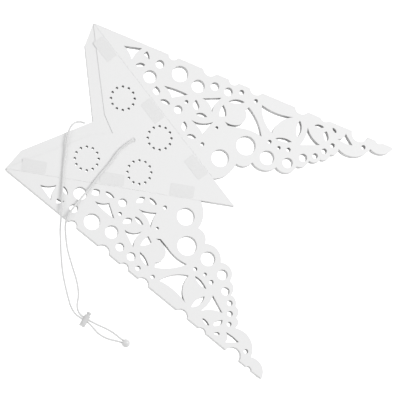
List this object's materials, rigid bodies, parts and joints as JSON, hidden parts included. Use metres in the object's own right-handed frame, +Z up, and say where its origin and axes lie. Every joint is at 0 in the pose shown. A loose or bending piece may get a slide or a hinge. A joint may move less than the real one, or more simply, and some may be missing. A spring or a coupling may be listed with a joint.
{
  "type": "fold-flat paper star",
  "caption": "Fold-flat lace-cut white paper star lampshade, folded flat, with its hanging cord, cord lock and bead.",
  "frame": {"origin": "middle of the folded star's underside, without its cord", "axes": "+X from the spine to the tips, +Y along the spine to the upper arm, +Z up through the folded stack"},
  "size_m": [0.346, 0.3376, 0.0164],
  "materials": {
    "paper": "matt uncoated white card with die-cut edges",
    "pad": "thin white hook-and-loop pad",
    "cord": "white braided cord",
    "lock_plastic": "moulded grey-white plastic",
    "spring_wire": "bright spring wire",
    "bead_plastic": "glossy white moulded ball"
  },
  "bodies": {
    "leaf_1": {"arrowhead_1": "paper"},
    "leaf_2": {"arrowhead_2": "paper"},
    "leaf_3": {"arrowhead_3": "paper"},
    "leaf_4": {"arrowhead_4": "paper"},
    "leaf_5": {"arrowhead_5": "paper"},
    "leaf_6": {"arrowhead_6": "paper"},
    "leaf_7": {"arrowhead_7": "paper"},
    "leaf_8": {"arrowhead_8": "paper"},
    "leaf_9": {"arrowhead_9": "paper"},
    "leaf_10": {"arrowhead_10": "paper", "closing_pads": "pad", "cord_hole_strand": "cord", "cord_notch_strand": "cord", "lock_barrel": "lock_plastic", "lock_spring": "spring_wire", "end_bead": "bead_plastic"},
    "point_1_upper_right": {"point_1_upper_right_wing": "paper"},
    "point_1_upper_left": {"point_1_upper_left_wing": "paper"},
    "point_1_lower_right": {"point_1_lower_right_wing": "paper"},
    "point_1_lower_left": {"point_1_lower_left_wing": "paper"},
    "point_2_upper_right": {"point_2_upper_right_wing": "paper"},
    "point_2_upper_left": {"point_2_upper_left_wing": "paper"},
    "point_2_lower_right": {"point_2_lower_right_wing": "paper"},
    "point_2_lower_left": {"point_2_lower_left_wing": "paper"},
    "point_3_upper_right": {"point_3_upper_right_wing": "paper"},
    "point_3_upper_left": {"point_3_upper_left_wing": "paper"},
    "point_3_lower_right": {"point_3_lower_right_wing": "paper"},
    "point_3_lower_left": {"point_3_lower_left_wing": "paper"},
    "point_4_upper_right": {"point_4_upper_right_wing": "paper"},
    "point_4_upper_left": {"point_4_upper_left_wing": "paper"},
    "point_4_lower_right": {"point_4_lower_right_wing": "paper"},
    "point_4_lower_left": {"point_4_lower_left_wing": "paper"},
    "point_5_upper_right": {"point_5_upper_right_wing": "paper"},
    "point_5_upper_left": {"point_5_upper_left_wing": "paper"},
    "point_5_lower_right": {"point_5_lower_right_wing": "paper"},
    "point_5_lower_left": {"point_5_lower_left_wing": "paper"},
    "point_6_upper_right": {"point_6_upper_right_wing": "paper"},
    "point_6_upper_left": {"point_6_upper_left_wing": "paper"},
    "point_6_lower_right": {"point_6_lower_right_wing": "paper"},
    "point_6_lower_left": {"point_6_lower_left_wing": "paper"},
    "point_7_upper_right": {"point_7_upper_right_wing": "paper"},
    "point_7_upper_left": {"point_7_upper_left_wing": "paper"},
    "point_7_lower_right": {"point_7_lower_right_wing": "paper"},
    "point_7_lower_left": {"point_7_lower_left_wing": "paper"},
    "point_8_upper_right": {"point_8_upper_right_wing": "paper"},
    "point_8_upper_left": {"point_8_upper_left_wing": "paper"},
    "point_8_lower_right": {"point_8_lower_right_wing": "paper"},
    "point_8_lower_left": {"point_8_lower_left_wing": "paper"},
    "point_9_upper_right": {"point_9_upper_right_wing": "paper"},
    "point_9_upper_left": {"point_9_upper_left_wing": "paper"},
    "point_9_lower_right": {"point_9_lower_right_wing": "paper"},
    "point_9_lower_left": {"point_9_lower_left_wing": "paper"},
    "plunger": {"lock_plunger": "lock_plastic"}
  },
  "joints": [
    {"name": "open_point_1", "type": "hinge", "parent": "leaf_1", "child": "leaf_2", "pos_m": [-0.17303, 0, 0.0005], "axis": [0, -1, 0], "range_deg": [0, 39]},
    {"name": "fold_upper_crease_1", "type": "hinge", "parent": "leaf_2", "child": "point_1_upper_right", "pos_m": [-0.17303, 0.092, 0.00082], "axis": [-0.9284, 0.3717, 0], "range_deg": [0, 40.28]},
    {"name": "fold_upper_ridge_1", "type": "hinge", "parent": "point_1_upper_right", "child": "point_1_upper_left", "pos_m": [-0.17303, 0.092, 0.0005], "axis": [0.9888, 0.1495, 0], "range_deg": [0, 72.84]},
    {"name": "fold_lower_crease_1", "type": "hinge", "parent": "leaf_2", "child": "point_1_lower_right", "pos_m": [-0.17303, -0.092, 0.00082], "axis": [0.9284, 0.3717, 0], "range_deg": [0, 40.28]},
    {"name": "fold_lower_ridge_1", "type": "hinge", "parent": "point_1_lower_right", "child": "point_1_lower_left", "pos_m": [-0.17303, -0.092, 0.0005], "axis": [-0.9888, 0.1495, 0], "range_deg": [0, 72.84]},
    {"name": "open_point_2", "type": "hinge", "parent": "leaf_2", "child": "leaf_3", "pos_m": [-0.17303, 0, 0.0018], "axis": [0, -1, 0], "range_deg": [0, 39]},
    {"name": "fold_upper_crease_2", "type": "hinge", "parent": "leaf_3", "child": "point_2_upper_right", "pos_m": [-0.17303, 0.092, 0.00213], "axis": [-0.9284, 0.3717, 0], "range_deg": [0, 40.28]},
    {"name": "fold_upper_ridge_2", "type": "hinge", "parent": "point_2_upper_right", "child": "point_2_upper_left", "pos_m": [-0.17303, 0.092, 0.0018], "axis": [0.9888, 0.1495, 0], "range_deg": [0, 72.84]},
    {"name": "fold_lower_crease_2", "type": "hinge", "parent": "leaf_3", "child": "point_2_lower_right", "pos_m": [-0.17303, -0.092, 0.00213], "axis": [0.9284, 0.3717, 0], "range_deg": [0, 40.28]},
    {"name": "fold_lower_ridge_2", "type": "hinge", "parent": "point_2_lower_right", "child": "point_2_lower_left", "pos_m": [-0.17303, -0.092, 0.0018], "axis": [-0.9888, 0.1495, 0], "range_deg": [0, 72.84]},
    {"name": "open_point_3", "type": "hinge", "parent": "leaf_3", "child": "leaf_4", "pos_m": [-0.17303, 0, 0.0031], "axis": [0, -1, 0], "range_deg": [0, 39]},
    {"name": "fold_upper_crease_3", "type": "hinge", "parent": "leaf_4", "child": "point_3_upper_right", "pos_m": [-0.17303, 0.092, 0.00343], "axis": [-0.9284, 0.3717, 0], "range_deg": [0, 40.28]},
    {"name": "fold_upper_ridge_3", "type": "hinge", "parent": "point_3_upper_right", "child": "point_3_upper_left", "pos_m": [-0.17303, 0.092, 0.0031], "axis": [0.9888, 0.1495, 0], "range_deg": [0, 72.84]},
    {"name": "fold_lower_crease_3", "type": "hinge", "parent": "leaf_4", "child": "point_3_lower_right", "pos_m": [-0.17303, -0.092, 0.00343], "axis": [0.9284, 0.3717, 0], "range_deg": [0, 40.28]},
    {"name": "fold_lower_ridge_3", "type": "hinge", "parent": "point_3_lower_right", "child": "point_3_lower_left", "pos_m": [-0.17303, -0.092, 0.0031], "axis": [-0.9888, 0.1495, 0], "range_deg": [0, 72.84]},
    {"name": "open_point_4", "type": "hinge", "parent": "leaf_4", "child": "leaf_5", "pos_m": [-0.17303, 0, 0.0044], "axis": [0, -1, 0], "range_deg": [0, 39]},
    {"name": "fold_upper_crease_4", "type": "hinge", "parent": "leaf_5", "child": "point_4_upper_right", "pos_m": [-0.17303, 0.092, 0.00473], "axis": [-0.9284, 0.3717, 0], "range_deg": [0, 40.28]},
    {"name": "fold_upper_ridge_4", "type": "hinge", "parent": "point_4_upper_right", "child": "point_4_upper_left", "pos_m": [-0.17303, 0.092, 0.0044], "axis": [0.9888, 0.1495, 0], "range_deg": [0, 72.84]},
    {"name": "fold_lower_crease_4", "type": "hinge", "parent": "leaf_5", "child": "point_4_lower_right", "pos_m": [-0.17303, -0.092, 0.00473], "axis": [0.9284, 0.3717, 0], "range_deg": [0, 40.28]},
    {"name": "fold_lower_ridge_4", "type": "hinge", "parent": "point_4_lower_right", "child": "point_4_lower_left", "pos_m": [-0.17303, -0.092, 0.0044], "axis": [-0.9888, 0.1495, 0], "range_deg": [0, 72.84]},
    {"name": "open_point_5", "type": "hinge", "parent": "leaf_5", "child": "leaf_6", "pos_m": [-0.17303, 0, 0.0057], "axis": [0, -1, 0], "range_deg": [0, 39]},
    {"name": "fold_upper_crease_5", "type": "hinge", "parent": "leaf_6", "child": "point_5_upper_right", "pos_m": [-0.17303, 0.092, 0.00602], "axis": [-0.9284, 0.3717, 0], "range_deg": [0, 40.28]},
    {"name": "fold_upper_ridge_5", "type": "hinge", "parent": "point_5_upper_right", "child": "point_5_upper_left", "pos_m": [-0.17303, 0.092, 0.0057], "axis": [0.9888, 0.1495, 0], "range_deg": [0, 72.84]},
    {"name": "fold_lower_crease_5", "type": "hinge", "parent": "leaf_6", "child": "point_5_lower_right", "pos_m": [-0.17303, -0.092, 0.00602], "axis": [0.9284, 0.3717, 0], "range_deg": [0, 40.28]},
    {"name": "fold_lower_ridge_5", "type": "hinge", "parent": "point_5_lower_right", "child": "point_5_lower_left", "pos_m": [-0.17303, -0.092, 0.0057], "axis": [-0.9888, 0.1495, 0], "range_deg": [0, 72.84]},
    {"name": "open_point_6", "type": "hinge", "parent": "leaf_6", "child": "leaf_7", "pos_m": [-0.17303, 0, 0.007], "axis": [0, -1, 0], "range_deg": [0, 39]},
    {"name": "fold_upper_crease_6", "type": "hinge", "parent": "leaf_7", "child": "point_6_upper_right", "pos_m": [-0.17303, 0.092, 0.00732], "axis": [-0.9284, 0.3717, 0], "range_deg": [0, 40.28]},
    {"name": "fold_upper_ridge_6", "type": "hinge", "parent": "point_6_upper_right", "child": "point_6_upper_left", "pos_m": [-0.17303, 0.092, 0.007], "axis": [0.9888, 0.1495, 0], "range_deg": [0, 72.84]},
    {"name": "fold_lower_crease_6", "type": "hinge", "parent": "leaf_7", "child": "point_6_lower_right", "pos_m": [-0.17303, -0.092, 0.00732], "axis": [0.9284, 0.3717, 0], "range_deg": [0, 40.28]},
    {"name": "fold_lower_ridge_6", "type": "hinge", "parent": "point_6_lower_right", "child": "point_6_lower_left", "pos_m": [-0.17303, -0.092, 0.007], "axis": [-0.9888, 0.1495, 0], "range_deg": [0, 72.84]},
    {"name": "open_point_7", "type": "hinge", "parent": "leaf_7", "child": "leaf_8", "pos_m": [-0.17303, 0, 0.0083], "axis": [0, -1, 0], "range_deg": [0, 39]},
    {"name": "fold_upper_crease_7", "type": "hinge", "parent": "leaf_8", "child": "point_7_upper_right", "pos_m": [-0.17303, 0.092, 0.00863], "axis": [-0.9284, 0.3717, 0], "range_deg": [0, 40.28]},
    {"name": "fold_upper_ridge_7", "type": "hinge", "parent": "point_7_upper_right", "child": "point_7_upper_left", "pos_m": [-0.17303, 0.092, 0.0083], "axis": [0.9888, 0.1495, 0], "range_deg": [0, 72.84]},
    {"name": "fold_lower_crease_7", "type": "hinge", "parent": "leaf_8", "child": "point_7_lower_right", "pos_m": [-0.17303, -0.092, 0.00863], "axis": [0.9284, 0.3717, 0], "range_deg": [0, 40.28]},
    {"name": "fold_lower_ridge_7", "type": "hinge", "parent": "point_7_lower_right", "child": "point_7_lower_left", "pos_m": [-0.17303, -0.092, 0.0083], "axis": [-0.9888, 0.1495, 0], "range_deg": [0, 72.84]},
    {"name": "open_point_8", "type": "hinge", "parent": "leaf_8", "child": "leaf_9", "pos_m": [-0.17303, 0, 0.0096], "axis": [0, -1, 0], "range_deg": [0, 39]},
    {"name": "fold_upper_crease_8", "type": "hinge", "parent": "leaf_9", "child": "point_8_upper_right", "pos_m": [-0.17303, 0.092, 0.00992], "axis": [-0.9284, 0.3717, 0], "range_deg": [0, 40.28]},
    {"name": "fold_upper_ridge_8", "type": "hinge", "parent": "point_8_upper_right", "child": "point_8_upper_left", "pos_m": [-0.17303, 0.092, 0.0096], "axis": [0.9888, 0.1495, 0], "range_deg": [0, 72.84]},
    {"name": "fold_lower_crease_8", "type": "hinge", "parent": "leaf_9", "child": "point_8_lower_right", "pos_m": [-0.17303, -0.092, 0.00992], "axis": [0.9284, 0.3717, 0], "range_deg": [0, 40.28]},
    {"name": "fold_lower_ridge_8", "type": "hinge", "parent": "point_8_lower_right", "child": "point_8_lower_left", "pos_m": [-0.17303, -0.092, 0.0096], "axis": [-0.9888, 0.1495, 0], "range_deg": [0, 72.84]},
    {"name": "open_point_9", "type": "hinge", "parent": "leaf_9", "child": "leaf_10", "pos_m": [-0.17303, 0, 0.0109], "axis": [0, -1, 0], "range_deg": [0, 39]},
    {"name": "fold_upper_crease_9", "type": "hinge", "parent": "leaf_10", "child": "point_9_upper_right", "pos_m": [-0.17303, 0.092, 0.01123], "axis": [-0.9284, 0.3717, 0], "range_deg": [0, 40.28]},
    {"name": "fold_upper_ridge_9", "type": "hinge", "parent": "point_9_upper_right", "child": "point_9_upper_left", "pos_m": [-0.17303, 0.092, 0.0109], "axis": [0.9888, 0.1495, 0], "range_deg": [0, 72.84]},
    {"name": "fold_lower_crease_9", "type": "hinge", "parent": "leaf_10", "child": "point_9_lower_right", "pos_m": [-0.17303, -0.092, 0.01123], "axis": [0.9284, 0.3717, 0], "range_deg": [0, 40.28]},
    {"name": "fold_lower_ridge_9", "type": "hinge", "parent": "point_9_lower_right", "child": "point_9_lower_left", "pos_m": [-0.17303, -0.092, 0.0109], "axis": [-0.9888, 0.1495, 0], "range_deg": [0, 72.84]},
    {"name": "press_lock_plunger", "type": "slide", "parent": "leaf_10", "child": "plunger", "axis": [0, -1, 0], "range_m": [0, 0.002], "stiffness_N_per_m": 300, "deforming": ["lock_spring"]}
  ],
  "couplings": [
    {"joint": "fold_upper_crease_1", "follows": "open_point_1", "ratio": 1.02},
    {"joint": "fold_upper_ridge_1", "follows": "open_point_1", "ratio": 1.855},
    {"joint": "fold_lower_crease_1", "follows": "open_point_1", "ratio": 1.02},
    {"joint": "fold_lower_ridge_1", "follows": "open_point_1", "ratio": 1.855},
    {"joint": "open_point_2", "follows": "open_point_1", "ratio": 1},
    {"joint": "fold_upper_crease_2", "follows": "open_point_1", "ratio": 1.02},
    {"joint": "fold_upper_ridge_2", "follows": "open_point_1", "ratio": 1.855},
    {"joint": "fold_lower_crease_2", "follows": "open_point_1", "ratio": 1.02},
    {"joint": "fold_lower_ridge_2", "follows": "open_point_1", "ratio": 1.855},
    {"joint": "open_point_3", "follows": "open_point_1", "ratio": 1},
    {"joint": "fold_upper_crease_3", "follows": "open_point_1", "ratio": 1.02},
    {"joint": "fold_upper_ridge_3", "follows": "open_point_1", "ratio": 1.855},
    {"joint": "fold_lower_crease_3", "follows": "open_point_1", "ratio": 1.02},
    {"joint": "fold_lower_ridge_3", "follows": "open_point_1", "ratio": 1.855},
    {"joint": "open_point_4", "follows": "open_point_1", "ratio": 1},
    {"joint": "fold_upper_crease_4", "follows": "open_point_1", "ratio": 1.02},
    {"joint": "fold_upper_ridge_4", "follows": "open_point_1", "ratio": 1.855},
    {"joint": "fold_lower_crease_4", "follows": "open_point_1", "ratio": 1.02},
    {"joint": "fold_lower_ridge_4", "follows": "open_point_1", "ratio": 1.855},
    {"joint": "open_point_5", "follows": "open_point_1", "ratio": 1},
    {"joint": "fold_upper_crease_5", "follows": "open_point_1", "ratio": 1.02},
    {"joint": "fold_upper_ridge_5", "follows": "open_point_1", "ratio": 1.855},
    {"joint": "fold_lower_crease_5", "follows": "open_point_1", "ratio": 1.02},
    {"joint": "fold_lower_ridge_5", "follows": "open_point_1", "ratio": 1.855},
    {"joint": "open_point_6", "follows": "open_point_1", "ratio": 1},
    {"joint": "fold_upper_crease_6", "follows": "open_point_1", "ratio": 1.02},
    {"joint": "fold_upper_ridge_6", "follows": "open_point_1", "ratio": 1.855},
    {"joint": "fold_lower_crease_6", "follows": "open_point_1", "ratio": 1.02},
    {"joint": "fold_lower_ridge_6", "follows": "open_point_1", "ratio": 1.855},
    {"joint": "open_point_7", "follows": "open_point_1", "ratio": 1},
    {"joint": "fold_upper_crease_7", "follows": "open_point_1", "ratio": 1.02},
    {"joint": "fold_upper_ridge_7", "follows": "open_point_1", "ratio": 1.855},
    {"joint": "fold_lower_crease_7", "follows": "open_point_1", "ratio": 1.02},
    {"joint": "fold_lower_ridge_7", "follows": "open_point_1", "ratio": 1.855},
    {"joint": "open_point_8", "follows": "open_point_1", "ratio": 1},
    {"joint": "fold_upper_crease_8", "follows": "open_point_1", "ratio": 1.02},
    {"joint": "fold_upper_ridge_8", "follows": "open_point_1", "ratio": 1.855},
    {"joint": "fold_lower_crease_8", "follows": "open_point_1", "ratio": 1.02},
    {"joint": "fold_lower_ridge_8", "follows": "open_point_1", "ratio": 1.855},
    {"joint": "open_point_9", "follows": "open_point_1", "ratio": 1},
    {"joint": "fold_upper_crease_9", "follows": "open_point_1", "ratio": 1.02},
    {"joint": "fold_upper_ridge_9", "follows": "open_point_1", "ratio": 1.855},
    {"joint": "fold_lower_crease_9", "follows": "open_point_1", "ratio": 1.02},
    {"joint": "fold_lower_ridge_9", "follows": "open_point_1", "ratio": 1.855}
  ]
}
